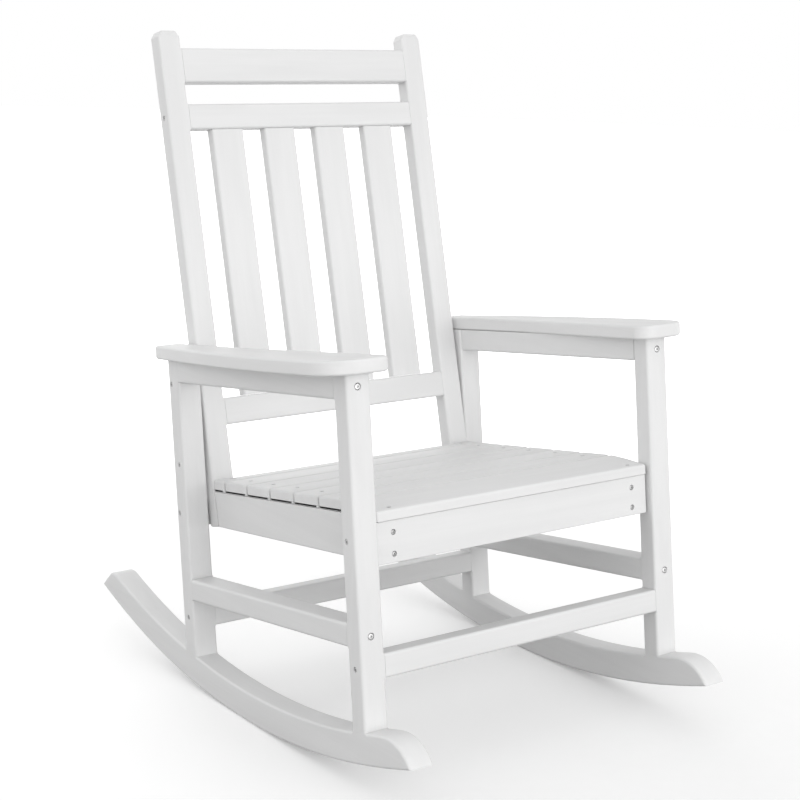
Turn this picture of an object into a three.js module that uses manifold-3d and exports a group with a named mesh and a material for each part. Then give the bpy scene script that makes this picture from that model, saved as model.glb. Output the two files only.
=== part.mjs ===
// Porch rocking chair of solid plastic lumber, bolted together from separate boards.
// Millimetres, +Z up. The chair faces -Y, and its two sides are mirror images in X.
// In names, left (-X) and right (+X) are as seen from the front.
//
// Every board is drawn in the upright frame: legs vertical, x = 0 on the centre plane,
// y = 0 on the front face of the front legs, z = 0 at the foot of the front legs.
// The whole chair then leans back on its rockers to the angle where it comes to rest.

import * as THREE from 'three';
import { mergeVertices } from 'three/addons/utils/BufferGeometryUtils.js';
import Module from 'manifold-3d';

const wasm = await Module();
wasm.setup();

// ---------- driving dimensions ----------

const LEAN = THREE.MathUtils.degToRad(8.0);     // rest lean of the whole chair
const JOINT_GAP = 0.3;                           // clearance between boards that touch

const LEG_OUTER_X = 313;
const POST_WIDTH = 42;                           // legs, rockers and side stretchers, across
const POST_DEPTH = 32.5;                         // legs and cross stretchers, front to back
const REAR_LEG_Y = 477.3;
const LEG_TOP_Z = 514.5;

const BOARD = 19;                                // thickness of the seat and back boards
const SEAT_HALF_WIDTH = 267;                     // seat and back unit, hung between the legs
const FRAME_STOCK = 40.5;                        // width of the stiles and side rails

const ROCKER_UNDER = { y: 170, z: 1222, r: 1285 };   // centre and radius of the underside
const ROCKER_TOP = { y: 168, z: 1262, r: 1276 };
const ROCKER_FRONT_Y = -105;
const ROCKER_REAR_Y = 798.5;
const ROCKER_FACETS = 12;                        // its sweep divided by the length of a flat
const NOSE_RADIUS = 66;                          // rounding of the front end, seen from the side
const NOSE_REAR_Y = -35.5;                       // where that rounding leaves the top
const TAIL_BACK = 44;                            // sloping cut at the rear end
const TAIL_ROUND = { back: 12, down: 4 };

const CROSS_STRETCHER_Z = [70.2, 106.8];
const SIDE_STRETCHER_Z = [118.2, 153.8];
const ARM_RAIL_Z = [477.2, LEG_TOP_Z];
const ARM_RAIL_WIDTH = 40;

const APRON_Y = 10.7;
const APRON_Z = [233, 295.7];
const SIDE_RAIL_Z = 236.5;
const REAR_RAIL_Z = [236.5, 280.5];

const RECLINE = Math.atan(0.118);                // back against the legs
const BACK_FOOT = { y: 457, z: 236.5 };          // front lower edge of the stiles
const BACK_DEPTH = 28;                           // stiles and back rails, front to back
const STILE_LENGTH = 817;
const STILE_CHAMFER = { x: 6.5, z: 9.5 };
const TOP_RAIL_S = [731.5, 788.2];               // heights up the back, from its foot
const SECOND_RAIL_S = [654, 695.6];
const LOWER_RAIL_S = [164.8, 209.3];
const BACK_SLATS = 4;
const BACK_SLAT_WIDTH = 61.2;
const BACK_SLAT_SETBACK = 4;

const SEAT_SLATS = 7;
const SEAT_GAP = 4;
const SEAT_FRONT_Y = 7.5;
const FRONT_SLAT_DEPTH = 81;
const REAR_SLAT_DEPTH = 30;
const FRONT_SLAT_UNDER_DROP = 5.8;               // how far the front slat tips down, underneath
const FRONT_SLAT_TOP_DROP = 9.2;                 // and on top, where it is crowned
const FRONT_CROWN_SLOPE = 0.055;                 // slope of the crowned top at its rear edge
const SEAT_REAR_Y = 463.3;
const SEAT_TOP_FRONT_Z = 321;                    // seat surface behind the front slat
const SEAT_TOP_REAR_Z = 313.8;                   // seat surface at the back

const ARM_THICKNESS = 22;
const ARM_FRONT_Y = -24;
const ARM_REAR_Y = 534;
const ARM_OUTER = { front: 358, bulge: 371, bulgeY: 258, rear: 320 };
const ARM_INNER = { front: 243.5, rear: 273.3, bendY: 320 };
const ARM_CORNER = { outer: 61, inner: 26 };

const BOLT = { head: 4.7, headHeight: 3, shank: 2.6 };
const BOLT_POCKET = { radius: 5.5, depth: 3.9 };
const SIDE_BOLT = { head: 3.4, headHeight: 2.4, shank: 2 };   // smaller, in the outer sides
const SIDE_POCKET = { radius: 3.95, depth: 3.1 };
const SCREW = { head: 3.7, headHeight: 2.6, shank: 2 };
const SCREW_POCKET = { radius: 4.3, depth: 3.4 };
const SCREW_LINE_X = 236.5;                      // seat and apron screws, from the centre plane
const APRON_SCREW_Z = { low: 246, high: 278 };
const RADIAL_GAP = 0.35;
const HOLE_OVERRUN = { mouth: 2, end: 1 };       // how far a drilling runs past the wood and the tip
const FACE_BOLT_X = 293;                         // bolts in the front and rear faces of the legs
const APRON_BOLT_Z = 274;
const REAR_RAIL_BOLT_Z = 262;
const STILE_BOLTS = { low: { y: 491.5, z: 343 }, high: { y: 500, z: 474 } };
const BOLT_LENGTH = { stretcher: 84, apron: 69, stile: 75, rail: 74, back: 80 };
const SCREW_LENGTH = { apron: 50, slat: 14 };

// How finely curves are divided.
const CURVE_STEPS = { nose: 8, rockerTop: 20, tail: 5, arm: 8, crown: 6, head: 12, pocket: 16 };

// ---------- materials ----------

const lumber = () => new THREE.MeshStandardMaterial({ color: 0xf1f1ef, roughness: 0.55, metalness: 0 });
const steel = () => new THREE.MeshStandardMaterial({ color: 0xb9bbbd, roughness: 0.35, metalness: 1 });

// ---------- geometry helpers ----------

// A closed outline in the y-z plane, drawn out along x from x0 to x1.
function sideProfile(points, x0, x1) {
  const shape = new THREE.Shape(points.map(([y, z]) => new THREE.Vector2(y, z)));
  const geometry = new THREE.ExtrudeGeometry(shape, { depth: x1 - x0, bevelEnabled: false });
  const toChair = new THREE.Matrix4().set(0, 0, 1, x0, 1, 0, 0, 0, 0, 1, 0, 0, 0, 0, 0, 1);
  return geometry.applyMatrix4(toChair);
}

function box([x0, x1], [y0, y1], [z0, z1]) {
  const geometry = new THREE.BoxGeometry(x1 - x0, y1 - y0, z1 - z0);
  return geometry.translate((x0 + x1) / 2, (y0 + y1) / 2, (z0 + z1) / 2);
}

const arcZ = (arc, y) => arc.z - Math.sqrt(arc.r ** 2 - (y - arc.y) ** 2);
const middle = ([low, high]) => (low + high) / 2;

function toSolid(geometry) {
  const bare = geometry.clone();
  bare.deleteAttribute('normal');
  bare.deleteAttribute('uv');
  const merged = mergeVertices(bare, 1e-4);
  return new wasm.Manifold(new wasm.Mesh({
    numProp: 3,
    vertProperties: new Float32Array(merged.attributes.position.array),
    triVerts: new Uint32Array(merged.index.array),
  }));
}

function toGeometry(solid) {
  const mesh = solid.getMesh();
  const geometry = new THREE.BufferGeometry();
  geometry.setAttribute('position', new THREE.BufferAttribute(new Float32Array(mesh.vertProperties), 3));
  geometry.setIndex(new THREE.BufferAttribute(new Uint32Array(mesh.triVerts), 1));
  geometry.computeVertexNormals();
  return geometry;
}

// ---------- the assembly ----------

const chair = new THREE.Group();                 // upright frame
const back = new THREE.Group();                  // reclined frame: y = depth, z = height up the back
back.position.set(0, BACK_FOOT.y, BACK_FOOT.z);
back.rotation.x = -RECLINE;
chair.add(back);

const boards = {};

function addBoard(name, geometry, group = chair) {
  const mesh = new THREE.Mesh(geometry, lumber());
  mesh.name = name;
  boards[name] = mesh;
  group.add(mesh);
  return mesh;
}

// The same span on the right (side = 1) or the left (side = -1), lowest x first.
const span = (side, inner, outer) => (side > 0 ? [inner, outer] : [-outer, -inner]);
const SIDES = { left: -1, right: 1 };
const LEG_INNER_X = LEG_OUTER_X - POST_WIDTH;

// ---------- rockers ----------

// Underside, from the tail to the nose. Its flats are placed so that one of them is level
// when the chair stands at rest.
function rockerUnderside() {
  const at = (angle) => [ROCKER_UNDER.y + ROCKER_UNDER.r * Math.sin(angle),
    ROCKER_UNDER.z - ROCKER_UNDER.r * Math.cos(angle)];
  const frontAngle = Math.asin((ROCKER_FRONT_Y - ROCKER_UNDER.y) / ROCKER_UNDER.r);
  const rearAngle = Math.asin((ROCKER_REAR_Y - ROCKER_UNDER.y) / ROCKER_UNDER.r);
  const step = (rearAngle - frontAngle) / ROCKER_FACETS;
  const points = [at(rearAngle)];
  const first = Math.floor((rearAngle - LEAN) / step - 0.5);
  for (let k = first; LEAN + (k + 0.5) * step > frontAngle + step / 4; k -= 1) {
    points.push(at(LEAN + (k + 0.5) * step));
  }
  points.push(at(frontAngle));
  return points;
}

// Centre of the nose's rounding and the angles that it sweeps, from the underside to the top.
// It leaves the top smoothly and meets the underside in a sharp corner.
function noseArc() {
  const slope = (ROCKER_TOP.y - NOSE_REAR_Y) / ROCKER_TOP.r;
  const y = NOSE_REAR_Y - NOSE_RADIUS * slope;
  const z = arcZ(ROCKER_TOP, NOSE_REAR_Y) - NOSE_RADIUS * Math.sqrt(1 - slope ** 2);
  return { y, z, from: Math.asin((y - ROCKER_FRONT_Y) / NOSE_RADIUS), to: -Math.asin(slope) };
}

// The outline runs along the underside from the tail to the nose, over the nose,
// back along the top, and down the sloping cut at the tail.
function rockerOutline() {
  const points = rockerUnderside();
  const nose = noseArc();
  for (let k = 1; k <= CURVE_STEPS.nose; k += 1) {
    const turn = nose.from + (nose.to - nose.from) * k / CURVE_STEPS.nose;
    points.push([nose.y - NOSE_RADIUS * Math.sin(turn), nose.z + NOSE_RADIUS * Math.cos(turn)]);
  }
  const tailTopY = ROCKER_REAR_Y - TAIL_BACK;
  const topEndY = tailTopY - TAIL_ROUND.back;
  for (let k = 1; k < CURVE_STEPS.rockerTop; k += 1) {
    const y = NOSE_REAR_Y + (topEndY - NOSE_REAR_Y) * k / CURVE_STEPS.rockerTop;
    points.push([y, arcZ(ROCKER_TOP, y)]);
  }
  const tail = new THREE.QuadraticBezierCurve(
    new THREE.Vector2(topEndY, arcZ(ROCKER_TOP, topEndY)),
    new THREE.Vector2(tailTopY, arcZ(ROCKER_TOP, tailTopY)),
    new THREE.Vector2(tailTopY + TAIL_ROUND.back, arcZ(ROCKER_TOP, tailTopY) - TAIL_ROUND.down));
  tail.getPoints(CURVE_STEPS.tail).forEach((p) => points.push([p.x, p.y]));
  return points;
}

function addRockers() {
  for (const [side, sign] of Object.entries(SIDES)) {
    addBoard(`rocker_${side}`, sideProfile(rockerOutline(), ...span(sign, LEG_INNER_X, LEG_OUTER_X)));
  }
}

// ---------- legs and stretchers ----------

// A leg stands on the curved top of its rocker, so its foot follows that curve.
function legOutline(y0, y1) {
  const foot = [0, 0.5, 1].map((t) => y0 + (y1 - y0) * t);
  const points = foot.map((y) => [y, arcZ(ROCKER_TOP, y) + JOINT_GAP]);
  points.push([y1, LEG_TOP_Z], [y0, LEG_TOP_Z]);
  return points;
}

function addLegs() {
  for (const [side, sign] of Object.entries(SIDES)) {
    const across = span(sign, LEG_INNER_X, LEG_OUTER_X);
    addBoard(`front_leg_${side}`, sideProfile(legOutline(0, POST_DEPTH), ...across));
    addBoard(`rear_leg_${side}`, sideProfile(legOutline(REAR_LEG_Y, REAR_LEG_Y + POST_DEPTH), ...across));
  }
}

function addStretchers() {
  const crossSpan = [-LEG_INNER_X + JOINT_GAP, LEG_INNER_X - JOINT_GAP];
  const between = [POST_DEPTH + JOINT_GAP, REAR_LEG_Y - JOINT_GAP];
  addBoard('front_stretcher', box(crossSpan, [0, POST_DEPTH], CROSS_STRETCHER_Z));
  addBoard('rear_stretcher', box(crossSpan, [REAR_LEG_Y, REAR_LEG_Y + POST_DEPTH], CROSS_STRETCHER_Z));
  for (const [side, sign] of Object.entries(SIDES)) {
    addBoard(`side_stretcher_${side}`, box(span(sign, LEG_INNER_X, LEG_OUTER_X), between, SIDE_STRETCHER_Z));
  }
}

// ---------- arms ----------

// Plan of the right arm: wide at the front with rounded corners, narrowing to the rear.
function armPlan() {
  const { outer, inner } = ARM_CORNER;
  const plan = new THREE.Shape();
  plan.moveTo(ARM_INNER.rear, ARM_REAR_Y);
  plan.lineTo(ARM_INNER.rear, ARM_INNER.bendY);
  plan.lineTo(ARM_INNER.front, ARM_FRONT_Y + inner);
  plan.absarc(ARM_INNER.front + inner, ARM_FRONT_Y + inner, inner, Math.PI, 1.5 * Math.PI);
  plan.absarc(ARM_OUTER.front - outer, ARM_FRONT_Y + outer, outer, 1.5 * Math.PI, 2 * Math.PI);
  plan.quadraticCurveTo(ARM_OUTER.bulge, ARM_OUTER.bulgeY, ARM_OUTER.rear, ARM_REAR_Y);
  return plan;
}

function addArms() {
  const settings = { depth: ARM_THICKNESS, bevelEnabled: false };
  for (const [side, sign] of Object.entries(SIDES)) {
    const points = armPlan().getPoints(CURVE_STEPS.arm).map((p) => new THREE.Vector2(p.x * sign, p.y));
    const plate = new THREE.ExtrudeGeometry(new THREE.Shape(points), settings);
    addBoard(`arm_${side}`, plate.translate(0, 0, LEG_TOP_Z + JOINT_GAP));
    const railSpan = span(sign, LEG_OUTER_X - ARM_RAIL_WIDTH, LEG_OUTER_X);
    const between = [POST_DEPTH + JOINT_GAP, REAR_LEG_Y - JOINT_GAP];
    addBoard(`arm_rail_${side}`, box(railSpan, between, ARM_RAIL_Z));
  }
}

// ---------- back ----------

function addBack() {
  const stileInner = SEAT_HALF_WIDTH - FRAME_STOCK;
  for (const [side, sign] of Object.entries(SIDES)) {
    const { x, z } = STILE_CHAMFER;
    const outline = new THREE.Shape([
      [stileInner, 0], [SEAT_HALF_WIDTH, 0], [SEAT_HALF_WIDTH, STILE_LENGTH - z],
      [SEAT_HALF_WIDTH - x, STILE_LENGTH], [stileInner + x, STILE_LENGTH], [stileInner, STILE_LENGTH - z],
    ].map(([px, pz]) => new THREE.Vector2(px * sign, pz)));
    const geometry = new THREE.ExtrudeGeometry(outline, { depth: BACK_DEPTH, bevelEnabled: false });
    geometry.rotateX(Math.PI / 2).translate(0, BACK_DEPTH, 0);
    addBoard(`back_stile_${side}`, geometry, back);
  }
  const across = [-stileInner + JOINT_GAP, stileInner - JOINT_GAP];
  addBoard('back_top_rail', box(across, [0, BACK_DEPTH], TOP_RAIL_S), back);
  addBoard('back_second_rail', box(across, [0, BACK_DEPTH], SECOND_RAIL_S), back);
  addBoard('back_lower_rail', box(across, [0, BACK_DEPTH], LOWER_RAIL_S), back);

  const gap = (2 * stileInner - BACK_SLATS * BACK_SLAT_WIDTH) / (BACK_SLATS + 1);
  const depth = [BACK_SLAT_SETBACK, BACK_SLAT_SETBACK + BOARD];
  const height = [LOWER_RAIL_S[1] + JOINT_GAP, SECOND_RAIL_S[0] - JOINT_GAP];
  for (let k = 0; k < BACK_SLATS; k += 1) {
    const x = -stileInner + gap + k * (BACK_SLAT_WIDTH + gap);
    addBoard(`back_slat_${k + 1}`, box([x, x + BACK_SLAT_WIDTH], depth, height), back);
  }
}

// ---------- seat ----------

const FRONT_SLAT_REAR_Y = SEAT_FRONT_Y + FRONT_SLAT_DEPTH;
const SEAT_SLOPE = (SEAT_TOP_FRONT_Z - SEAT_TOP_REAR_Z) / (SEAT_REAR_Y - FRONT_SLAT_REAR_Y);
const FRONT_UNDER_SLOPE = FRONT_SLAT_UNDER_DROP / FRONT_SLAT_DEPTH;
const FRONT_CROWN = (FRONT_SLAT_TOP_DROP / FRONT_SLAT_DEPTH - FRONT_CROWN_SLOPE) / FRONT_SLAT_DEPTH;

// Height of the sitting surface: sloping to the rear, and falling away over the front slat.
function seatTop(y) {
  if (y > FRONT_SLAT_REAR_Y) {
    return SEAT_TOP_FRONT_Z - (y - FRONT_SLAT_REAR_Y) * SEAT_SLOPE;
  }
  const forward = FRONT_SLAT_REAR_Y - y;
  return SEAT_TOP_FRONT_Z - forward * (FRONT_CROWN_SLOPE + forward * FRONT_CROWN);
}

// Height of the slats' undersides.
function seatUnder(y) {
  if (y > FRONT_SLAT_REAR_Y) {
    return seatTop(y) - BOARD;
  }
  return SEAT_TOP_FRONT_Z - BOARD - (FRONT_SLAT_REAR_Y - y) * FRONT_UNDER_SLOPE;
}

// Front edges and depths of the slats: a wide front one, equal ones, and a narrow rear one.
function seatLayout() {
  const equalSlats = SEAT_SLATS - 2;
  const room = SEAT_REAR_Y - REAR_SLAT_DEPTH - FRONT_SLAT_REAR_Y;
  const depth = (room - (equalSlats + 1) * SEAT_GAP) / equalSlats;
  const layout = [{ y: SEAT_FRONT_Y, depth: FRONT_SLAT_DEPTH }];
  for (let k = 0; k < equalSlats; k += 1) {
    layout.push({ y: FRONT_SLAT_REAR_Y + SEAT_GAP + k * (depth + SEAT_GAP), depth });
  }
  layout.push({ y: SEAT_REAR_Y - REAR_SLAT_DEPTH, depth: REAR_SLAT_DEPTH });
  return layout;
}

function addSeat() {
  const inner = SEAT_HALF_WIDTH - FRAME_STOCK;
  addBoard('seat_apron', box([-SEAT_HALF_WIDTH, SEAT_HALF_WIDTH], [APRON_Y, APRON_Y + BOARD], APRON_Z));
  const legClear = LEG_INNER_X - JOINT_GAP;
  const rearRailY = [REAR_LEG_Y + POST_DEPTH - BOARD, REAR_LEG_Y + POST_DEPTH];
  addBoard('seat_rear_rail', box([-legClear, legClear], rearRailY, REAR_RAIL_Z));

  const railTop = (y) => seatUnder(y) - JOINT_GAP;
  const railFront = APRON_Y + BOARD + JOINT_GAP;
  const stileFront = (z) => BACK_FOOT.y + (z - BACK_FOOT.z) * Math.tan(RECLINE) - JOINT_GAP;
  const rearTopY = stileFront(railTop(SEAT_REAR_Y));
  const outline = [
    [railFront, SIDE_RAIL_Z], [stileFront(SIDE_RAIL_Z), SIDE_RAIL_Z], [rearTopY, railTop(rearTopY)],
    [FRONT_SLAT_REAR_Y, railTop(FRONT_SLAT_REAR_Y)], [railFront, railTop(railFront)],
  ];
  for (const [side, sign] of Object.entries(SIDES)) {
    addBoard(`seat_rail_${side}`, sideProfile(outline, ...span(sign, inner, SEAT_HALF_WIDTH)));
  }
  addFrontSlat();
  addFlatSlats();
}

// The front slat is crowned on top and thins towards its front edge.
function addFrontSlat() {
  const outline = [
    [SEAT_FRONT_Y, seatUnder(SEAT_FRONT_Y)], [FRONT_SLAT_REAR_Y, seatUnder(FRONT_SLAT_REAR_Y)],
  ];
  for (let k = 0; k <= CURVE_STEPS.crown; k += 1) {
    const y = FRONT_SLAT_REAR_Y - FRONT_SLAT_DEPTH * k / CURVE_STEPS.crown;
    outline.push([y, seatTop(y)]);
  }
  addBoard('seat_slat_1', sideProfile(outline, -SEAT_HALF_WIDTH, SEAT_HALF_WIDTH));
}

function addFlatSlats() {
  const turn = Math.atan(-SEAT_SLOPE);
  seatLayout().slice(1).forEach(({ y, depth }, index) => {
    const slat = new THREE.Group();
    slat.position.set(0, y, seatTop(y));
    slat.rotation.x = turn;
    chair.add(slat);
    const run = depth / Math.cos(turn);
    addBoard(`seat_slat_${index + 2}`, box([-SEAT_HALF_WIDTH, SEAT_HALF_WIDTH], [0, run], [-BOARD, 0]), slat);
  });
}

// ---------- fasteners ----------

// A fastener along +z from the face it enters: a round head sunk in a pocket, and a shank.
function fastenerGeometry(size, pocket, length) {
  const seat = pocket.depth - JOINT_GAP;
  const profile = [
    [0, seat - size.headHeight], [size.head, seat - size.headHeight], [size.head, seat],
    [size.shank, seat], [size.shank, length], [0, length],
  ].map(([r, z]) => new THREE.Vector2(r, z));
  return new THREE.LatheGeometry(profile, CURVE_STEPS.head).rotateX(Math.PI / 2);
}

// The hole it needs: the pocket, then a clearance hole a little longer than the shank.
function holeGeometry(size, pocket, length) {
  const bore = size.shank + RADIAL_GAP;
  const mouth = -HOLE_OVERRUN.mouth;
  const end = length + HOLE_OVERRUN.end;
  const profile = [
    [0, mouth], [pocket.radius, mouth], [pocket.radius, pocket.depth], [bore, pocket.depth],
    [bore, end], [0, end],
  ].map(([r, z]) => new THREE.Vector2(r, z));
  return new THREE.LatheGeometry(profile, CURVE_STEPS.pocket).rotateX(Math.PI / 2);
}

const drillings = {};                            // board name -> hole solids in that board's frame

// Drills the named boards along `axis` from `at`, and adds the fastener unless it is left out.
function fasten(name, at, axis, length, names, { size = BOLT, pocket = BOLT_POCKET, add = true } = {}) {
  const place = new THREE.Matrix4().makeRotationFromQuaternion(
    new THREE.Quaternion().setFromUnitVectors(new THREE.Vector3(0, 0, 1), axis.clone().normalize()));
  place.setPosition(at);
  chair.updateMatrixWorld(true);
  for (const boardName of names) {
    const toBoard = boards[boardName].matrixWorld.clone().invert().multiply(place);
    const hole = holeGeometry(size, pocket, length).applyMatrix4(toBoard);
    (drillings[boardName] ??= []).push(toSolid(hole));
  }
  if (add) {
    const mesh = new THREE.Mesh(fastenerGeometry(size, pocket, length), steel());
    mesh.name = name;
    mesh.applyMatrix4(place);
    chair.add(mesh);
  }
}

// Bolts driven inward through the outer faces of the legs.
function addSideBolts() {
  const frontY = POST_DEPTH / 2;
  const rearY = REAR_LEG_Y + POST_DEPTH / 2;
  const crossZ = middle(CROSS_STRETCHER_Z);
  const { stretcher, apron, stile } = BOLT_LENGTH;
  const options = { size: SIDE_BOLT, pocket: SIDE_POCKET };
  for (const [side, sign] of Object.entries(SIDES)) {
    const drive = (label, leg, y, z, length, board) => {
      const at = new THREE.Vector3(sign * LEG_OUTER_X, y, z);
      const inward = new THREE.Vector3(-sign, 0, 0);
      fasten(`bolt_${label}_${side}`, at, inward, length, [`${leg}_leg_${side}`, board], options);
    };
    const stileName = `back_stile_${side}`;
    const rearRailY = REAR_LEG_Y + POST_DEPTH - BOARD / 2;
    drive('front_stretcher', 'front', frontY, crossZ, stretcher, 'front_stretcher');
    drive('rear_stretcher', 'rear', rearY, crossZ, stretcher, 'rear_stretcher');
    drive('apron', 'front', APRON_Y + BOARD / 2, APRON_BOLT_Z, apron, 'seat_apron');
    drive('seat_rear_rail', 'rear', rearRailY, REAR_RAIL_BOLT_Z, stretcher, 'seat_rear_rail');
    drive('stile_low', 'rear', STILE_BOLTS.low.y, STILE_BOLTS.low.z, stile, stileName);
    drive('stile_high', 'rear', STILE_BOLTS.high.y, STILE_BOLTS.high.z, stile, stileName);
  }
}

// Bolts through the front and rear faces of the legs, into the ends of the rails between them.
function addFaceBolts() {
  const faces = {
    front: { y: 0, direction: new THREE.Vector3(0, 1, 0) },
    rear: { y: REAR_LEG_Y + POST_DEPTH, direction: new THREE.Vector3(0, -1, 0) },
  };
  const heights = { arm_rail: middle(ARM_RAIL_Z), side_stretcher: middle(SIDE_STRETCHER_Z) };
  for (const [side, sign] of Object.entries(SIDES)) {
    for (const [rail, z] of Object.entries(heights)) {
      for (const [end, { y, direction }] of Object.entries(faces)) {
        const at = new THREE.Vector3(sign * FACE_BOLT_X, y, z);
        const names = [`${end}_leg_${side}`, `${rail}_${side}`];
        fasten(`bolt_${rail}_${end}_${side}`, at, direction, BOLT_LENGTH.rail, names);
      }
    }
  }
}

// One bolt through each stile into the end of the second back rail.
function addBackBolts() {
  const height = middle(SECOND_RAIL_S);
  const options = { size: SIDE_BOLT, pocket: SIDE_POCKET };
  chair.updateMatrixWorld(true);
  for (const [side, sign] of Object.entries(SIDES)) {
    const at = back.localToWorld(new THREE.Vector3(sign * SEAT_HALF_WIDTH, BACK_DEPTH / 2, height));
    const names = [`back_stile_${side}`, 'back_second_rail'];
    const inward = new THREE.Vector3(-sign, 0, 0);
    fasten(`bolt_second_rail_${side}`, at, inward, BOLT_LENGTH.back, names, options);
  }
}

// Two screws in each end of the apron, into the ends of the side rails.
function addApronScrews() {
  const options = { size: SCREW, pocket: SCREW_POCKET };
  for (const [side, sign] of Object.entries(SIDES)) {
    for (const [level, z] of Object.entries(APRON_SCREW_Z)) {
      const at = new THREE.Vector3(sign * SCREW_LINE_X, APRON_Y, z);
      fasten(`screw_apron_${level}_${side}`, at, new THREE.Vector3(0, 1, 0), SCREW_LENGTH.apron,
        ['seat_apron', `seat_rail_${side}`], options);
    }
  }
}

// Pockets for the screws that hold the slats down, two to a slat.
function drillSeatSlats() {
  const options = { size: SCREW, pocket: SCREW_POCKET, add: false };
  const down = new THREE.Vector3(0, 0, -1);
  seatLayout().forEach(({ y, depth }, index) => {
    const screwY = index === 0 ? APRON_Y + BOARD / 2 : y + depth / 2;
    for (const sign of [-1, 1]) {
      const at = new THREE.Vector3(sign * SCREW_LINE_X, screwY, seatTop(screwY));
      fasten('', at, down, SCREW_LENGTH.slat, [`seat_slat_${index + 1}`], options);
    }
  });
}

function cutHoles() {
  for (const [name, holes] of Object.entries(drillings)) {
    let solid = toSolid(boards[name].geometry);
    for (const hole of holes) {
      solid = solid.subtract(hole);
    }
    boards[name].geometry = toGeometry(solid);
  }
}

addRockers();
addLegs();
addStretchers();
addArms();
addBack();
addSeat();
addSideBolts();
addFaceBolts();
addBackBolts();
addApronScrews();
drillSeatSlats();
cutHoles();

// ---------- lean back and stand on the floor ----------

chair.rotation.x = -LEAN;
const rockingChair = new THREE.Group();
rockingChair.name = 'rocking_chair';
rockingChair.add(chair);
rockingChair.updateMatrixWorld(true);
const extent = new THREE.Box3().setFromObject(rockingChair, true);
chair.position.set(0, -(extent.min.y + extent.max.y) / 2, -extent.min.z);

export default rockingChair;
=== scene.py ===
"""Porch rocking chair of white plastic lumber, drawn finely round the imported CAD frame.

Every board is rebuilt from the outline of its own CAD node: the faceted curves become smooth,
the long edges are rounded as a router leaves them, and the pockets for the bolts and screws are
cut again. Where two boards meet flush, the rounding runs out at the joint. Lengths are in metres.
"""
import math
import random

import bmesh
import bpy
from mathutils import Matrix, Vector
from mathutils.bvhtree import BVHTree


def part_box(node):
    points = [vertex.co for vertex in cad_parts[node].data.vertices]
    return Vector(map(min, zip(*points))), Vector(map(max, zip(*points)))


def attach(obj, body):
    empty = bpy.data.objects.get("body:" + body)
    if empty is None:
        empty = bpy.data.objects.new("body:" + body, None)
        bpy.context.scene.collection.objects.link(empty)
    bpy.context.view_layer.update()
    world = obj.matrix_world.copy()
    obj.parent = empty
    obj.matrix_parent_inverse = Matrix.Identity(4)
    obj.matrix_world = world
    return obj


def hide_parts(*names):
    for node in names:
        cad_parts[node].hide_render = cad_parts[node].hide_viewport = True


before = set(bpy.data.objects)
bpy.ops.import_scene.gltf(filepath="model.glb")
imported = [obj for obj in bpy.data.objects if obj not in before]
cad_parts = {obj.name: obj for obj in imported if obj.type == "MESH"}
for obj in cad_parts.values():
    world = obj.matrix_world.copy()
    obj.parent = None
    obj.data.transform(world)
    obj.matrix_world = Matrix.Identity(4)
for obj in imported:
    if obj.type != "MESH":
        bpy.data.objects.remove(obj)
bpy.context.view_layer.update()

MM = 0.001
X = Vector((1, 0, 0))
Y = Vector((0, 1, 0))
Z = Vector((0, 0, 1))

# How exactly things have to agree, as lengths, angles, or cosines of the angle between directions.
TINY = 0.002 * MM                 # points this close are one point
SAME_PLANE = 0.99999              # two faces of one flat region
SAME_DIRECTION = 0.9999
ROUGHLY_ALONG = 0.9
RUNS_ACROSS = 0.75                # a side of an outline that belongs to a cut end
SAME_LEVEL = 0.05 * MM
ROUND_WITHIN = 0.1 * MM           # how evenly round the floor of a pocket is
SAME_RIM = 0.01 * MM
NO_BEND = math.radians(0.05)      # a point of an outline that turns less than this is left out
NO_KINK = math.radians(0.02)      # and, once the outline is smooth, less than this

# ---------- how the boards are finished ----------

ROUTED = 4.5 * MM                 # rounding of the long edges
ARM_EDGE = 4.0 * MM
ROCKER_EDGE = 4.0 * MM
SLAT_END = 3.2 * MM               # rounding of the free ends of the seat slats
RAIL_EDGE = 3.0 * MM              # rounding of the rails under the seat
ARM_CORNER = 2.0 * MM             # rear corners of the arms, seen from above
EASED = 1.3 * MM                  # edges that are only broken
CUT = 0.25 * MM                   # a square cut that meets another board
OVER_RIM = 1.05                   # a corner is rounded a little more than the rim round it
CORNER_TURN = math.radians(25)    # an outline that turns more than this has a corner there
BLEND_LENGTH = 45 * MM            # longest stretch over which a shallow bend is smoothed
CONTACT = 0.6 * MM                # boards this close to each other touch
SAMPLE = 1.5 * MM                 # spacing at which an edge is tested for contact
CAP_BORDER = 0.8 * MM             # narrow band that keeps the shading of a flat end even

RIM_STEPS = 5
FILLET_STEPS = 6
CURVE_ANGLE = math.radians(3)     # turn of each short stretch of a smooth curve
SHARP_ANGLE = math.radians(33)    # edges that turn more than this are shaded as sharp
FLAT_WEIGHT = 100                 # how fully the large faces set the shading of their corners
SHARP_MITRE = 0.3                 # sine of the turn above which a drawn-in corner keeps its mitre

POCKET_SMALLEST = 3.5 * MM        # radii of the pockets that hold a bolt or screw
POCKET_LARGEST = 6 * MM
POCKET_CORNERS = 12               # fewest corners of a pocket's round floor
POCKET_BREAK = 0.35 * MM          # chamfer round its mouth
POCKET_SEGMENTS = 40
CUTTER_OVERLAP = 0.02 * MM        # how far the chamfer starts above the surface
CUTTER_RISE = 3 * MM              # how far the cutter stands out of the board


# ---------- reading the CAD nodes ----------

def joined_mesh(node):
    """The node's mesh as a bmesh, with the corners joined that the model file keeps apart."""
    work = bmesh.new()
    work.from_mesh(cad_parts[node].data)
    bmesh.ops.remove_doubles(work, verts=work.verts, dist=TINY)
    work.normal_update()
    return work


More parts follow.
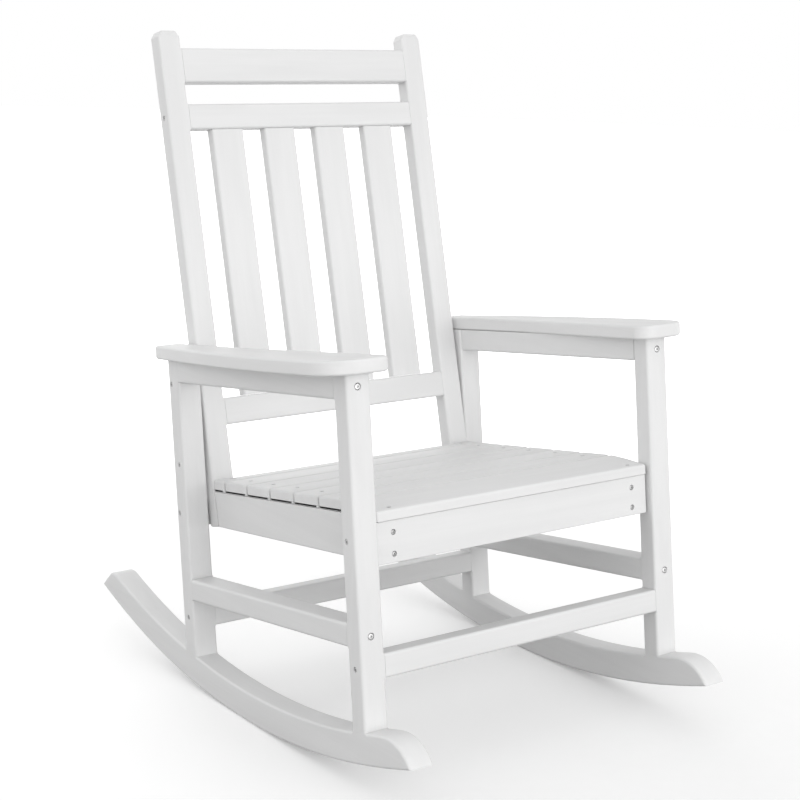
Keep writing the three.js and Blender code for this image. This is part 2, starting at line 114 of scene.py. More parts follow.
def flat_faces(work):
    """The faces of the mesh in groups, each of which is one flat region, its largest face first."""
    groups = []
    grouped = set()
    for start in sorted(work.faces, key=lambda face: -face.calc_area()):
        if start in grouped:
            continue
        grouped.add(start)
        group = [start]
        for face in group:
            for edge in face.edges:
                for other in edge.link_faces:
                    if other not in grouped and other.normal.dot(face.normal) > SAME_PLANE:
                        grouped.add(other)
                        group.append(other)
        groups.append(group)
    return groups


def facing(work, hint):
    """Normal of the largest flat face that looks roughly along the hint."""
    turned = [g for g in flat_faces(work) if g[0].normal.dot(hint) > ROUGHLY_ALONG]
    widest = max(turned, key=lambda group: sum(face.calc_area() for face in group))
    return widest[0].normal.copy()


def loops_round(faces):
    """Closed loops of points round a group of faces, anticlockwise outside and clockwise in holes."""
    inside = set(faces)
    follow = {}
    for face in faces:
        for corner in face.loops:
            if not any(f in inside for f in corner.edge.link_faces if f is not face):
                follow.setdefault(corner.vert, []).append(corner.link_loop_next.vert)
    loops = []
    while follow:
        start = next(iter(follow))
        loop = [start]
        here = take_next(follow, start)
        while here is not start:
            loop.append(here)
            here = take_next(follow, here)
        loops.append(loop)
    return loops


def take_next(follow, vert):
    """Takes one of the corners that follow a corner out of the table."""
    after = follow[vert].pop()
    if not follow[vert]:
        del follow[vert]
    return after


def loop_length(loop):
    return sum((a.co - b.co).length for a, b in zip(loop, loop[1:] + loop[:1]))


class Pocket:
    """A round pocket for a fastener: the centre of its mouth, the way out of it, radius and depth."""

    def __init__(self, floor_centre, outward, radius, depth):
        self.mouth = floor_centre + outward * depth
        self.outward = outward
        self.radius = radius
        self.depth = depth


def pockets_in(work):
    """The fastener pockets of a board, found by the round floors that they leave."""
    found = []
    for group in flat_faces(work):
        outward = group[0].normal.copy()
        rim = max(loops_round(group), key=loop_length)
        centre = sum((v.co for v in rim), Vector()) / len(rim)
        reach = [(v.co - centre).length for v in rim]
        round_floor = len(rim) >= POCKET_CORNERS and max(reach) - min(reach) < ROUND_WITHIN
        if round_floor and POCKET_SMALLEST < max(reach) < POCKET_LARGEST:
            rises = [(e.other_vert(v).co - v.co).dot(outward) for v in rim for e in v.link_edges]
            found.append(Pocket(centre, outward, max(reach), max(rises)))
    return found


# ---------- outlines ----------

def turn_at(points, i):
    """How far the outline turns at point i."""
    before = points[i] - points[i - 1]
    after = points[(i + 1) % len(points)] - points[i]
    return abs(before.angle_signed(after))


def without_straight_points(points):
    """The outline without its doubled points and those on a straight stretch."""
    kept = [p for i, p in enumerate(points) if (p - points[i - 1]).length > TINY]
    return [p for i, p in enumerate(kept) if turn_at(kept, i) > NO_BEND]


def bezier(start, control, end, steps):
    """Points along a curve that leaves its start and reaches its end in line with the control point."""
    return [start.lerp(control, t).lerp(control.lerp(end, t), t)
            for t in (k / steps for k in range(steps + 1))]


def fillet(before, corner, after, radius, steps):
    """Points of an arc that rounds a corner."""
    a = (before - corner).normalized()
    b = (after - corner).normalized()
    half = a.angle(b) / 2
    reach = radius / math.tan(half)
    centre = corner + (a + b).normalized() * (radius / math.sin(half))
    start = corner + a * reach - centre
    end = corner + b * reach - centre
    sweep = start.angle_signed(end)
    arc = []
    for k in range(steps + 1):
        turned = start.copy()
        turned.rotate(Matrix.Rotation(-sweep * k / steps, 2))
        arc.append(centre + turned)
    return arc


def smooth_outline(points, corner_radius):
    """Rounds the corners of an outline and smooths its shallow bends.

    corner_radius(point) gives the rounding of the corner at a point, and 0 leaves it sharp.
    """
    result = []
    for i, here in enumerate(points):
        before = points[i - 1]
        after = points[(i + 1) % len(points)]
        turn = turn_at(points, i)
        if turn > CORNER_TURN:
            radius = corner_radius(here)
            arc = fillet(before, here, after, radius, FILLET_STEPS) if radius else [here]
            result.extend(arc)
            continue
        reach = [min(BLEND_LENGTH, (p - here).length / 2) for p in (before, after)]
        start = here + (before - here).normalized() * reach[0]
        end = here + (after - here).normalized() * reach[1]
        result.extend(bezier(start, here, end, max(2, round(turn / CURVE_ANGLE) + 1)))
    return without_straight_points(result)


def subdivided(points, longest):
    """The outline with points added, so that no side is longer than a given length."""
    result = []
    for here, after in zip(points, points[1:] + points[:1]):
        parts = max(1, math.ceil((after - here).length / longest))
        result.extend(here.lerp(after, k / parts) for k in range(parts))
    return result


# ---------- boards ----------

class Board:
    """One board: the CAD node, the direction it is drawn out along, and how its edges are finished.

    The outline is that of the largest flat face along the hint, and the board is drawn out at
    right angles to it. rim rounds the edges round both of its end faces, and is one radius or a
    function of a side's direction. corner rounds the corners of the outline, and is one radius or
    a function of the board and the corner's point. With joints, the rims run out where another
    board touches. across is the direction of the sawn ends, which stay square in the outline.
    """

    def __init__(self, node, hint=X, rim=CUT, corner=ROUTED, joints=False, across=None):
        self.node = node
        self.rim = rim
        self.corner = corner
        self.joints = joints
        self.across = across
        work = joined_mesh(node)
        self.axis = facing(work, hint)
        reference = Y if abs(self.axis.x) > ROUGHLY_ALONG else X
        self.u = (reference - self.axis * reference.dot(self.axis)).normalized()
        self.v = self.axis.cross(self.u)
        heights = [v.co.dot(self.axis) for v in work.verts]
        self.low = min(heights)
        self.high = max(heights)
        self.pockets = pockets_in(work)
        self.outline = self.read_outline(work)
        self.middle = sum(self.outline, Vector((0, 0))) / len(self.outline)
        corners = [v.co for v in work.verts]
        self.box = [Vector(map(pick, *corners)) for pick in (min, max)]
        self.tree = BVHTree.FromBMesh(work)
        work.free()

    def read_outline(self, work):
        cap = [f for f in work.faces if f.normal.dot(self.axis) > SAME_DIRECTION
               and f.verts[0].co.dot(self.axis) > self.high - SAME_LEVEL]
        loop = max(loops_round(cap), key=loop_length)
        return without_straight_points([Vector((v.co.dot(self.u), v.co.dot(self.v))) for v in loop])

    def place(self, point, level):
        """The place in the chair of a point of the outline, at a level along the axis."""
        return self.u * point.x + self.v * point.y + self.axis * level

    def rim_radius(self, direction):
        return self.rim(direction) if callable(self.rim) else self.rim

    def corner_radius(self, point):
        return self.corner(self, point) if callable(self.corner) else self.corner

    def near(self, other):
        """Whether the boxes round two boards meet."""
        gap = CONTACT * 2
        return other is not self and all(
            self.box[0][k] - gap < other.box[1][k] and other.box[0][k] - gap < self.box[1][k]
            for k in range(3))


def rim_radii(board, points, level, neighbours):
    """For each side of the outline at one end face: how far its rim draws in, and how deep it is."""
    sides = list(zip(points, points[1:] + points[:1]))
    depths = [board.rim_radius((b - a).normalized()) for a, b in sides]
    if board.joints:
        run_out_at_joints(depths, board, sides, level, neighbours)
    insets = list(depths)
    if board.across is not None:
        for i, (a, b) in enumerate(sides):
            direction = board.place(b - a, 0).normalized()
            if abs(direction.dot(board.across)) > RUNS_ACROSS:
                insets[i] = 0
                depths[i] = ROUTED
    return insets, depths


def run_out_at_joints(radii, board, sides, level, neighbours):
    """Lets the rim run out to a plain cut along the sides that touch another board."""
    middles = [board.place((a + b) / 2, level) for a, b in sides]
    touching = [any(n.tree.find_nearest(middle, CONTACT)[0] is not None for n in neighbours)
                for middle in middles]
    lengths = [(b - a).length for a, b in sides]
    for i, full in enumerate(radii):
        if touching[i]:
            depth = min(distance_to_free(touching, lengths, i, step) for step in (1, -1))
            short = max(full - depth, 0)
            radii[i] = max(full - math.sqrt(full ** 2 - short ** 2), CUT)


def distance_to_free(touching, lengths, start, step):
    """Distance along the outline from the middle of a touching side to the nearest free one."""
    count = len(touching)
    distance = lengths[start] / 2
    i = (start + step) % count
    while touching[i] and i != start and distance < ROUTED:
        distance += lengths[i]
        i = (i + step) % count
    return distance


def drawn_in_ring(points, insets):
    """The outline with each side moved inward by its own distance."""
    ring = []
    for i, here in enumerate(points):
        before = (here - points[i - 1]).normalized()
        after = (points[(i + 1) % len(points)] - here).normalized()
        n1 = Vector((-before.y, before.x))
        n2 = Vector((-after.y, after.x))
        a = insets[i - 1]
        b = insets[i]
        cross = n1.x * n2.y - n1.y * n2.x
        if abs(cross) < SHARP_MITRE:
            move = (n1 + n2).normalized() * ((a + b) / 2)
        else:
            move = Vector((a * n2.y - b * n1.y, b * n1.x - a * n2.x)) / cross
        ring.append(here + move)
    gather_at_corners(points, ring)
    return ring


def gather_at_corners(points, ring):
    """Where a drawn-in corner has passed its neighbours, moves them onto it."""
    count = len(points)
    for i in range(count):
        if turn_at(points, i) < CORNER_TURN:
            continue
        for step in (1, -1):
            ahead = points[(i + step) % count] - points[i]
            j = (i + step) % count
            while j != i and (ring[j] - ring[i]).dot(ahead) < 0:
                ring[j] = ring[i].copy()
                j = (j + step) % count


def board_rings(board, neighbours):
    """Rings of points round the board, from its low end face to its high one."""
    points = smooth_outline(board.outline, board.corner_radius)
    if board.joints:
        points = subdivided(points, SAMPLE)
    ends = []
    for level, inward in ((board.low, 1), (board.high, -1)):
        ends.append((level, inward, *rim_radii(board, points, level, neighbours)))
    if board.joints:
        kept = needed_points(points, ends)
        points = [points[i] for i in kept]
        ends = [(level, inward, [insets[i] for i in kept], [depths[i] for i in kept])
                for level, inward, insets, depths in ends]
    rings = []
    for level, inward, insets, depths in ends:
        border = [r + CAP_BORDER for r in insets]
        end_rings = []
        for k in range(RIM_STEPS + 1):
            turn = math.radians(90) * k / RIM_STEPS
            ring = drawn_in_ring(points, [r * (1 - math.cos(turn)) for r in insets])
            sunk = [(depths[i - 1] + depths[i]) / 2 * (1 - math.sin(turn)) for i in range(len(ring))]
            end_rings.append([board.place(p, level + inward * d) for p, d in zip(ring, sunk)])
        end_rings.append([board.place(p, level) for p in drawn_in_ring(points, border)])
        rings.extend(end_rings if inward < 0 else reversed(end_rings))
    return rings


def needed_points(points, ends):
    """Indices of the points where the outline turns, where a rim changes, and next to such a change."""
    count = len(points)

    def changes(values, i):
        return abs(values[i % count] - values[i - 1]) > SAME_RIM

    def needed(i):
        if turn_at(points, i) > NO_KINK:
            return True
        return any(changes(depths, i) or any(changes(insets, i + step) for step in (-1, 0, 1))
                   for _, _, insets, depths in ends)

    return [i for i in range(count) if needed(i)]


def mesh_from_rings(name, rings):
    """A closed mesh through equal rings of points, with a flat face at each end."""
    work = bmesh.new()
    rows = [[work.verts.new(p) for p in ring] for ring in rings]
    count = len(rings[0])
    for lower, upper in zip(rows, rows[1:]):
        for i in range(count):
            j = (i + 1) % count
            work.faces.new((lower[i], lower[j], upper[j], upper[i]))
    work.faces.new(list(reversed(rows[0])))
    work.faces.new(rows[-1])
    bmesh.ops.dissolve_degenerate(work, dist=TINY, edges=work.edges)
    mesh = bpy.data.meshes.new(name)
    work.to_mesh(mesh)
    work.free()
    return mesh


def turned_mesh(name, profile, segments):
    """A closed mesh turned about z from (radius, height) points that start and end on the axis."""
    work = bmesh.new()
    foot = work.verts.new((0, 0, profile[0][1]))
    tip = work.verts.new((0, 0, profile[-1][1]))
    rows = []
    for radius, height in profile[1:-1]:
        angles = [2 * math.pi * k / segments for k in range(segments)]
        rows.append([work.verts.new((radius * math.cos(a), radius * math.sin(a), height))
                     for a in angles])
    for i in range(segments):
        j = (i + 1) % segments
        work.faces.new((foot, rows[0][j], rows[0][i]))
        work.faces.new((tip, rows[-1][i], rows[-1][j]))
        for lower, upper in zip(rows, rows[1:]):
            work.faces.new((lower[i], lower[j], upper[j], upper[i]))
    mesh = bpy.data.meshes.new(name)
    work.to_mesh(mesh)
    work.free()
    return mesh


def placed(axis, at):
    """The matrix that turns z to the axis and moves the origin to a point."""
    return Matrix.Translation(at) @ axis.to_track_quat("Z", "Y").to_matrix().to_4x4()


def cut_away(mesh, cutters):
    """The mesh with the cutter meshes taken out of it."""
    scene = bpy.context.scene
    target = bpy.data.objects.new("target", mesh)
    scene.collection.objects.link(target)
    helpers = []
    for cutter in cutters:
        helper = bpy.data.objects.new("cutter", cutter)
        scene.collection.objects.link(helper)
        helpers.append(helper)
        modifier = target.modifiers.new("cut", "BOOLEAN")
        modifier.operation = "DIFFERENCE"
        modifier.solver = "EXACT"
        modifier.object = helper
    bpy.context.view_layer.update()
    evaluated = target.evaluated_get(bpy.context.evaluated_depsgraph_get())
    result = bpy.data.meshes.new_from_object(evaluated)
    result.name = mesh.name
    for helper in helpers + [target]:
        data = helper.data
        bpy.data.objects.remove(helper)
        bpy.data.meshes.remove(data)
    return result


def pocket_cutter(pocket):
    """A round cutter for a pocket, with a slight chamfer at the mouth."""
    wall = pocket.radius
    mouth = wall + POCKET_BREAK
    profile = [(0, -pocket.depth), (wall, -pocket.depth), (wall, -POCKET_BREAK),
               (mouth, CUTTER_OVERLAP), (mouth, CUTTER_RISE), (0, CUTTER_RISE)]
    mesh = turned_mesh("pocket", profile, POCKET_SEGMENTS)
    mesh.transform(placed(pocket.outward, pocket.mouth))
    return mesh


def add_grain(mesh, board, offset):
    """Stores on each point where it lies in its own plank: along the grain first, then across."""

    def span(direction):
        reach = [vertex.co.dot(direction) for vertex in mesh.vertices]
        return max(reach) - min(reach)

    directions = sorted((board.axis, board.u, board.v), key=span, reverse=True)
    grain = mesh.attributes.new("grain", "FLOAT_VECTOR", "POINT")
    for vertex, item in zip(mesh.vertices, grain.data):
        item.vector = Vector([vertex.co.dot(d) for d in directions]) + offset


def finish_piece(name, mesh, material, node=None):
    """Puts a mesh in the scene as a piece that rides on the chair."""
    mesh.materials.clear()
    mesh.materials.append(material)
    mesh.shade_smooth()
    mesh.set_sharp_from_angle(angle=SHARP_ANGLE)
    piece = bpy.data.objects.new(name, mesh)
    bpy.context.scene.collection.objects.link(piece)
    weighted = piece.modifiers.new("weighted_normals", "WEIGHTED_NORMAL")
    weighted.keep_sharp = True
    weighted.weight = FLAT_WEIGHT
    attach(piece, "root")
    if node:
        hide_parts(node)
    return piece


# ---------- materials ----------

LUMBER_TONES = (0.72, 0.75)
LUMBER_ROUGHNESS = (0.62, 0.46)
STREAK_SCALE = (5, 170, 170)      # features in a metre, along the grain and across it
BAND_SCALE = (3, 24, 24)
GRAIN_CONTRAST = (0.55, 0.95)     # part of the noise that is spread over the two tones
PORE_SCALE = 900
PORE_SHARE = 0.25                 # relief of the pores against that of the streaks
# The side bolts and the screws take a darker copy of the bolts' steel: painted shade, for heads that sit
# in shade on the side faces and in their pockets.
BRIGHT_STEEL_TONES = (0.44, 0.60)
SHADED_STEEL_TONES = (0.34, 0.50)
STEEL_ROUGHNESS = (0.30, 0.46)
SCRATCH_SCALE = 2600


def add_node(tree, kind, values=None, **settings):
    """A shader node with its settings, and a value or a link for each socket that is named."""
    node = tree.nodes.new(kind)
    for name, value in settings.items():
        setattr(node, name, value)
    for socket, value in (values or {}).items():
        if isinstance(value, bpy.types.NodeSocket):
            tree.links.new(value, node.inputs[socket])
        else:
            node.inputs[socket].default_value = value
    return node


def new_material(name):
    material = bpy.data.materials.new(name)
    material.use_nodes = True
    tree = material.node_tree
    return material, tree, tree.nodes["Principled BSDF"]


def grey(level):
    return (level, level, level, 1)


def ranged(tree, value, low, high, source=(0, 1)):
    """The value moved from the source range to the range from low to high."""
    return add_node(tree, "ShaderNodeMapRange", {
        "Value": value, "From Min": source[0], "From Max": source[1], "To Min": low, "To Max": high,
    }).outputs["Result"]


def grain_noise(tree, grain, scale, detail, roughness):
    """Noise drawn out along the grain; scale is its number of features in a metre each way."""
    stretched = add_node(tree, "ShaderNodeMapping", {"Vector": grain, "Scale": scale})
    return add_node(tree, "ShaderNodeTexNoise", {
        "Vector": stretched.outputs["Vector"], "Scale": 1, "Detail": detail, "Roughness": roughness,
    }).outputs["Fac"]


def tinted(tree, factor, tones):
    """A colour that moves between two greys."""
    return add_node(tree, "ShaderNodeMix", {
        "Factor": factor, 6: grey(tones[0]), 7: grey(tones[1])}, data_type="RGBA").outputs[2]


def add_relief(tree, shader, height, strength, depth):
    bump = add_node(tree, "ShaderNodeBump", {
        "Height": height, "Strength": strength, "Distance": depth})
    tree.links.new(bump.outputs["Normal"], shader.inputs["Normal"])


def lumber_material():
    """White plastic lumber: satin, with faint streaks that run along the plank."""
    material, tree, shader = new_material("white_plastic_lumber")
    grain = add_node(tree, "ShaderNodeAttribute", attribute_name="grain").outputs["Vector"]
    streaks = grain_noise(tree, grain, STREAK_SCALE, detail=5, roughness=0.6)
    bands = grain_noise(tree, grain, BAND_SCALE, detail=2, roughness=0.5)
    mixed = add_node(tree, "ShaderNodeMath", {0: streaks, 1: bands, 2: bands},
                     operation="MULTIPLY_ADD").outputs["Value"]
    tone = ranged(tree, mixed, 0, 1, source=GRAIN_CONTRAST)
    tree.links.new(tinted(tree, tone, LUMBER_TONES), shader.inputs["Base Color"])
    tree.links.new(ranged(tree, streaks, *LUMBER_ROUGHNESS), shader.inputs["Roughness"])
    pores = add_node(tree, "ShaderNodeTexNoise", {
        "Vector": grain, "Scale": PORE_SCALE, "Detail": 2}).outputs["Fac"]
    relief = add_node(tree, "ShaderNodeMath", {0: pores, 1: PORE_SHARE, 2: streaks},
                      operation="MULTIPLY_ADD").outputs["Value"]
    add_relief(tree, shader, relief, strength=0.3, depth=0.15 * MM)
    shader.inputs["IOR"].default_value = 1.5
    shader.inputs["Specular IOR Level"].default_value = 0.4
    return material


def steel_material(name, tones):
    """Steel heads with fine scratches from the tumbling that finishes them."""
    material, tree, shader = new_material(name)
    place = add_node(tree, "ShaderNodeTexCoord").outputs["Object"]
    scratches = add_node(tree, "ShaderNodeTexNoise", {
        "Vector": place, "Scale": SCRATCH_SCALE, "Detail": 4}).outputs["Fac"]
    tree.links.new(tinted(tree, scratches, tones), shader.inputs["Base Color"])
    tree.links.new(ranged(tree, scratches, *STEEL_ROUGHNESS), shader.inputs["Roughness"])
    add_relief(tree, shader, scratches, strength=0.2, depth=0.05 * MM)
    shader.inputs["Metallic"].default_value = 1
    return material


lumber = lumber_material()
bright_steel = steel_material("bright_steel", BRIGHT_STEEL_TONES)
# a darker copy of the same steel: painted shade on the side bolts and the screws
dull_steel = steel_material("dull_steel", SHADED_STEEL_TONES)

# ---------- the boards of the chair ----------


def slat_corner(slat, point):
    """Seat slats are rounded along the top, and only eased underneath."""
    return ROUTED if point.y > slat.middle.y else EASED


def rail_rim(direction):
    """The side rails of the seat are eased under the slats and rounded along the bottom."""
    return EASED if direction.x < 0 else RAIL_EDGE


SIDES = ("left", "right")
boards = []
for side in SIDES:
    boards.append(Board(f"rocker_{side}", rim=ROCKER_EDGE, corner=0, joints=True))
    for post in ("front_leg", "rear_leg"):
        boards.append(Board(f"{post}_{side}", rim=ROUTED, corner=0, joints=True, across=Y))
    for rail in ("side_stretcher", "arm_rail"):
        boards.append(Board(f"{rail}_{side}", rim=ROUTED, corner=0, joints=True, across=Z))
    boards.append(Board(f"back_stile_{side}", hint=Y, rim=ROUTED, corner=ROUTED * OVER_RIM, joints=True))
    boards.append(Board(f"arm_{side}", hint=Z, rim=ARM_EDGE, corner=ARM_CORNER))
    boards.append(Board(f"seat_rail_{side}", rim=rail_rim, corner=0))
for rail in ("front_stretcher", "rear_stretcher"):
    boards.append(Board(rail))
for rail in ("back_top_rail", "back_second_rail", "back_lower_rail"):
    boards.append(Board(rail))
boards.append(Board("seat_rear_rail", corner=RAIL_EDGE))
boards.append(Board("seat_apron", rim=EASED, corner=EASED * OVER_RIM))
for slat in sorted(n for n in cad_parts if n.startswith("back_slat_")):
    boards.append(Board(slat, hint=Z))
for slat in sorted(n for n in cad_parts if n.startswith("seat_slat_")):
    boards.append(Board(slat, rim=SLAT_END, corner=slat_corner))

FINISHED = "_finished"
SEED = 7
GRAIN_SHIFT = 9                   # largest shift that gives each board its own part of the grain
draw = random.Random(SEED)


def add_board(board):
    neighbours = [other for other in boards if board.near(other)] if board.joints else []
    made = mesh_from_rings(board.node + FINISHED, board_rings(board, neighbours))
    if board.pockets:
        made = cut_away(made, [pocket_cutter(p) for p in board.pockets])
    add_grain(made, board, Vector([draw.uniform(0, GRAIN_SHIFT) for _ in range(3)]))
    finish_piece(board.node + FINISHED, made, lumber, board.node)


for board in boards:
    add_board(board)

# ---------- fasteners ----------

SEAT_GAP = 0.3 * MM               # between a head and the floor of its pocket
HEAD_SEGMENTS = 36
DOME_STEPS = 8
DOME_FULLNESS = 0.5               # 1 is a round dome, and less has a flatter top and steeper sides
HEAD_BREAK = 0.2 * MM             # chamfer round the foot of a head
TIP_TAPER = 0.6                   # radius of a shank's flat tip and length of its taper, in radii
SOCKET_REACH = 0.37               # from the middle of a hexagon socket to its flats, in head radii
SOCKET_DEPTH = 1.9 * MM
CROSS_FLOOR = (0.5, 0.19)         # length and width of a blade of a cross recess, in head radii
CROSS_MOUTH = (1.25, 0.27)
CROSS_DEPTH = 1.7 * MM
RECESS_RISE = 1 * MM              # how far the cutter of a recess stands out of the head
SLAT_SCREW_LENGTH = 14 * MM
LARGE_POCKET = 5 * MM             # larger pockets hold the large bolts
POCKET_MARGIN = 1.2               # a fastener this many radii from a mouth belongs to the pocket


class Fastener:
    """Sizes of one kind of bolt or screw, the maker of its recess, and its steel."""

    def __init__(self, head, height, rim, shank, recess, steel):
        self.head = head
        self.height = height
        self.rim = rim
        self.shank = shank
        self.recess = recess
        self.steel = steel


def hex_recess(top, head):
    """A hexagon socket."""
    reach = head * SOCKET_REACH / math.cos(math.radians(30))
    floor = top - SOCKET_DEPTH
    mouth = top + RECESS_RISE
    return [turned_mesh("socket", [(0, floor), (reach, floor), (reach, mouth), (0, mouth)], 6)]


def cross_recess(top, head):
    """A cross-shaped recess that narrows as it goes in."""
    cutters = []
    for turn in (0, 90):
        work = bmesh.new()
        bmesh.ops.create_cube(work, size=1)
        for vert in work.verts:
            at_floor = vert.co.z < 0
            length, width = CROSS_FLOOR if at_floor else CROSS_MOUTH
            vert.co.x *= head * length
            vert.co.y *= head * width
            vert.co.z = top - CROSS_DEPTH if at_floor else top + RECESS_RISE / 2
        work.transform(Matrix.Rotation(math.radians(turn), 4, "Z"))
        mesh = bpy.data.meshes.new("blade")
        work.to_mesh(mesh)
        work.free()
        cutters.append(mesh)
    return cutters


def fastener_mesh(kind, depth, length):
    """A domed head and a shank along -z, with z = 0 at the mouth of the pocket."""
    seat = SEAT_GAP - depth
    shoulder = seat + kind.rim
    rise = kind.height - kind.rim
    profile = [(0, -length), (kind.shank * TIP_TAPER, -length),
               (kind.shank, kind.shank * TIP_TAPER - length), (kind.shank, seat),
               (kind.head - HEAD_BREAK, seat), (kind.head, seat + HEAD_BREAK)]
    for k in range(DOME_STEPS + 1):
        turn = math.radians(90) * k / DOME_STEPS
        reach = kind.head * math.cos(turn) ** DOME_FULLNESS
        profile.append((reach, shoulder + rise * math.sin(turn)))
    mesh = turned_mesh("fastener", profile, HEAD_SEGMENTS)
    return cut_away(mesh, kind.recess(shoulder + rise, kind.head))


def add_fastener(name, pocket, kind, length, node=None):
    mesh = fastener_mesh(kind, pocket.depth, length)
    turn = Matrix.Rotation(draw.uniform(0, math.pi), 4, "Z")
    mesh.transform(placed(pocket.outward, pocket.mouth) @ turn)
    finish_piece(name, mesh, kind.steel, node)


BOLT = Fastener(head=4.7 * MM, height=3.6 * MM, rim=2.6 * MM, shank=2.6 * MM,
                recess=hex_recess, steel=bright_steel)
SIDE_BOLT = Fastener(head=3.4 * MM, height=2.2 * MM, rim=0.9 * MM, shank=2 * MM,
                     recess=hex_recess, steel=dull_steel)
SCREW = Fastener(head=3.5 * MM, height=2.4 * MM, rim=1.1 * MM, shank=2 * MM,
                 recess=cross_recess, steel=dull_steel)

fastener_nodes = [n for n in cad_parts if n.startswith(("bolt_", "screw_"))]


def fastener_in(pocket):
    """The CAD fastener whose head lies in the pocket, and its depth below the mouth, or None."""
    for node in fastener_nodes:
        reach = [v.co - pocket.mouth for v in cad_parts[node].data.vertices]
        if min(r.length for r in reach) < pocket.radius * POCKET_MARGIN:
            return node, -min(r.dot(pocket.outward) for r in reach)
    return None


def fill_pocket(board, pocket):
    """Puts a bolt or a screw in a pocket."""
    match = fastener_in(pocket)
    if match is None:
        side = "left" if pocket.mouth.x < 0 else "right"
        add_fastener(f"screw_{board.node}_{side}", pocket, SCREW, SLAT_SCREW_LENGTH)
        return
    node, length = match
    kind = SCREW
    if node.startswith("bolt_"):
        kind = BOLT if pocket.radius > LARGE_POCKET else SIDE_BOLT
    add_fastener(node + FINISHED, pocket, kind, length, node)


for board in boards:
    for pocket in board.pockets:
        fill_pocket(board, pocket)

# ---------- camera ----------

CAMERA_PLACE = Vector((-1.7259, -2.2805, 1.1324))
CAMERA_YAW = math.radians(36.997)
CAMERA_PITCH = math.radians(12.838)
CAMERA_ROLL = math.radians(1.913)
CAMERA_LENS = 80.61               # millimetres, on a sensor as wide as the next
CAMERA_SENSOR = 36


def add_camera():
    data = bpy.data.cameras.new("camera")
    data.lens = CAMERA_LENS
    data.sensor_width = CAMERA_SENSOR
    camera = bpy.data.objects.new("camera", data)
    bpy.context.scene.collection.objects.link(camera)
    yaw = Matrix.Rotation(-CAMERA_YAW, 4, "Z")
    pitch = Matrix.Rotation(math.radians(90) - CAMERA_PITCH, 4, "X")
    roll = Matrix.Rotation(CAMERA_ROLL, 4, "Z")
    camera.matrix_world = Matrix.Translation(CAMERA_PLACE) @ yaw @ pitch @ roll
    bpy.context.scene.camera = camera


add_camera()

# ---------- floor and light ----------

FLOOR_RADIUS = 14
FLOOR_SEGMENTS = 96
FLOOR_TONES = (0.80, 0.82)
SPECKLE_SCALE = 40
# The floor's glow is painted light and shade: weaker under and in front of the chair, stronger behind it
# and far from it.
NEAR_REACH = (-0.65, 0.25)        # from front to back, under and round the chair
NEAR_GLOW = (0.15, 0.28)
FAR_REACH = (0.9, 2.2)            # distances from the chair over which the floor turns white
FAR_GLOW = (0, 0.8)
FLOOR_BOUNCE = 0.35               # of the light that falls on it, given back to the chair

HORIZON = 1.08                    # light from all round, at eye level and from straight above
ZENITH = 0.70
LIGHT_TARGET = (0, 0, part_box("seat_apron")[1].z)
SOFTBOXES = {                     # place, width and height, watts
    "front": ((0, -4, 1.3), (6, 2.6), 84),
    "back": ((0, 4, 1.6), (6, 3), 50),
    "side": ((-4, 0, 1.6), (6, 3), 15),
}


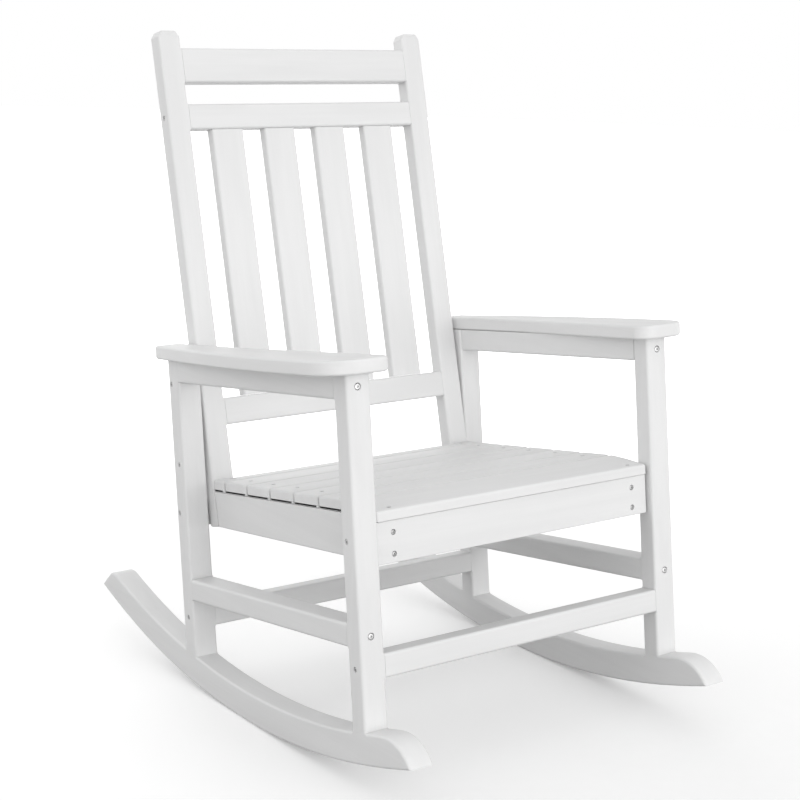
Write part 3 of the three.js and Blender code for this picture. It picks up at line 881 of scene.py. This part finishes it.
def floor_material():
    """Pale, with a painted pool of shade: it glows least under and in front of the chair and more
    towards the back and far off. It is darker in the light that it gives back.
    """
    material, tree, shader = new_material("studio_floor")
    place = add_node(tree, "ShaderNodeTexCoord").outputs["Object"]
    distance = add_node(tree, "ShaderNodeVectorMath", {0: place}, operation="LENGTH").outputs["Value"]
    depth = add_node(tree, "ShaderNodeSeparateXYZ", {"Vector": place}).outputs["Y"]
    near = ranged(tree, depth, *NEAR_GLOW, source=NEAR_REACH)
    far = ranged(tree, distance, *FAR_GLOW, source=FAR_REACH)
    glow = add_node(tree, "ShaderNodeMath", {0: near, 1: far}, operation="ADD").outputs["Value"]
    speckle = add_node(tree, "ShaderNodeTexNoise", {
        "Vector": place, "Scale": SPECKLE_SCALE, "Detail": 3}).outputs["Fac"]
    tree.links.new(tinted(tree, speckle, FLOOR_TONES), shader.inputs["Base Color"])
    tree.links.new(glow, shader.inputs["Emission Strength"])
    shader.inputs["Emission Color"].default_value = grey(1)
    shader.inputs["Roughness"].default_value = 0.9
    shader.inputs["Specular IOR Level"].default_value = 0.1
    bounce = add_node(tree, "ShaderNodeBsdfDiffuse", {"Color": grey(FLOOR_BOUNCE)})
    diffuse_light = add_node(tree, "ShaderNodeLightPath").outputs["Is Diffuse Ray"]
    blend = add_node(tree, "ShaderNodeMixShader", {
        0: diffuse_light, 1: shader.outputs["BSDF"], 2: bounce.outputs["BSDF"]})
    tree.links.new(blend.outputs["Shader"], tree.nodes["Material Output"].inputs["Surface"])
    return material


def add_floor():
    work = bmesh.new()
    bmesh.ops.create_circle(work, cap_ends=True, radius=FLOOR_RADIUS, segments=FLOOR_SEGMENTS)
    mesh = bpy.data.meshes.new("floor")
    work.to_mesh(mesh)
    work.free()
    mesh.materials.append(floor_material())
    floor = bpy.data.objects.new("floor", mesh)
    bpy.context.scene.collection.objects.link(floor)


def add_softbox(name, place, size, power):
    data = bpy.data.lights.new(name, "AREA")
    data.shape = "RECTANGLE"
    data.size = size[0]
    data.size_y = size[1]
    data.energy = power
    light = bpy.data.objects.new(name, data)
    light.location = place
    light.rotation_mode = "QUATERNION"
    light.rotation_quaternion = (Vector(place) - Vector(LIGHT_TARGET)).to_track_quat("Z", "Y")
    bpy.context.scene.collection.objects.link(light)


def add_world():
    """White behind everything, and an even light from all round that is weaker from above."""
    world = bpy.data.worlds.new("studio")
    world.use_nodes = True
    tree = world.node_tree
    background = tree.nodes["Background"]
    background.inputs["Color"].default_value = grey(1)
    direction = add_node(tree, "ShaderNodeTexCoord").outputs["Generated"]
    height = add_node(tree, "ShaderNodeSeparateXYZ", {"Vector": direction}).outputs["Z"]
    ambient = ranged(tree, height, HORIZON, ZENITH)
    seen = add_node(tree, "ShaderNodeLightPath").outputs["Is Camera Ray"]
    strength = add_node(tree, "ShaderNodeMix", {"Factor": seen, 2: ambient, 3: 1.0}, data_type="FLOAT")
    tree.links.new(strength.outputs[0], background.inputs["Strength"])
    bpy.context.scene.world = world


add_floor()
add_world()
for name, (place, size, power) in SOFTBOXES.items():
    add_softbox(name, place, size, power)

bpy.context.scene.view_settings.view_transform = "Standard"
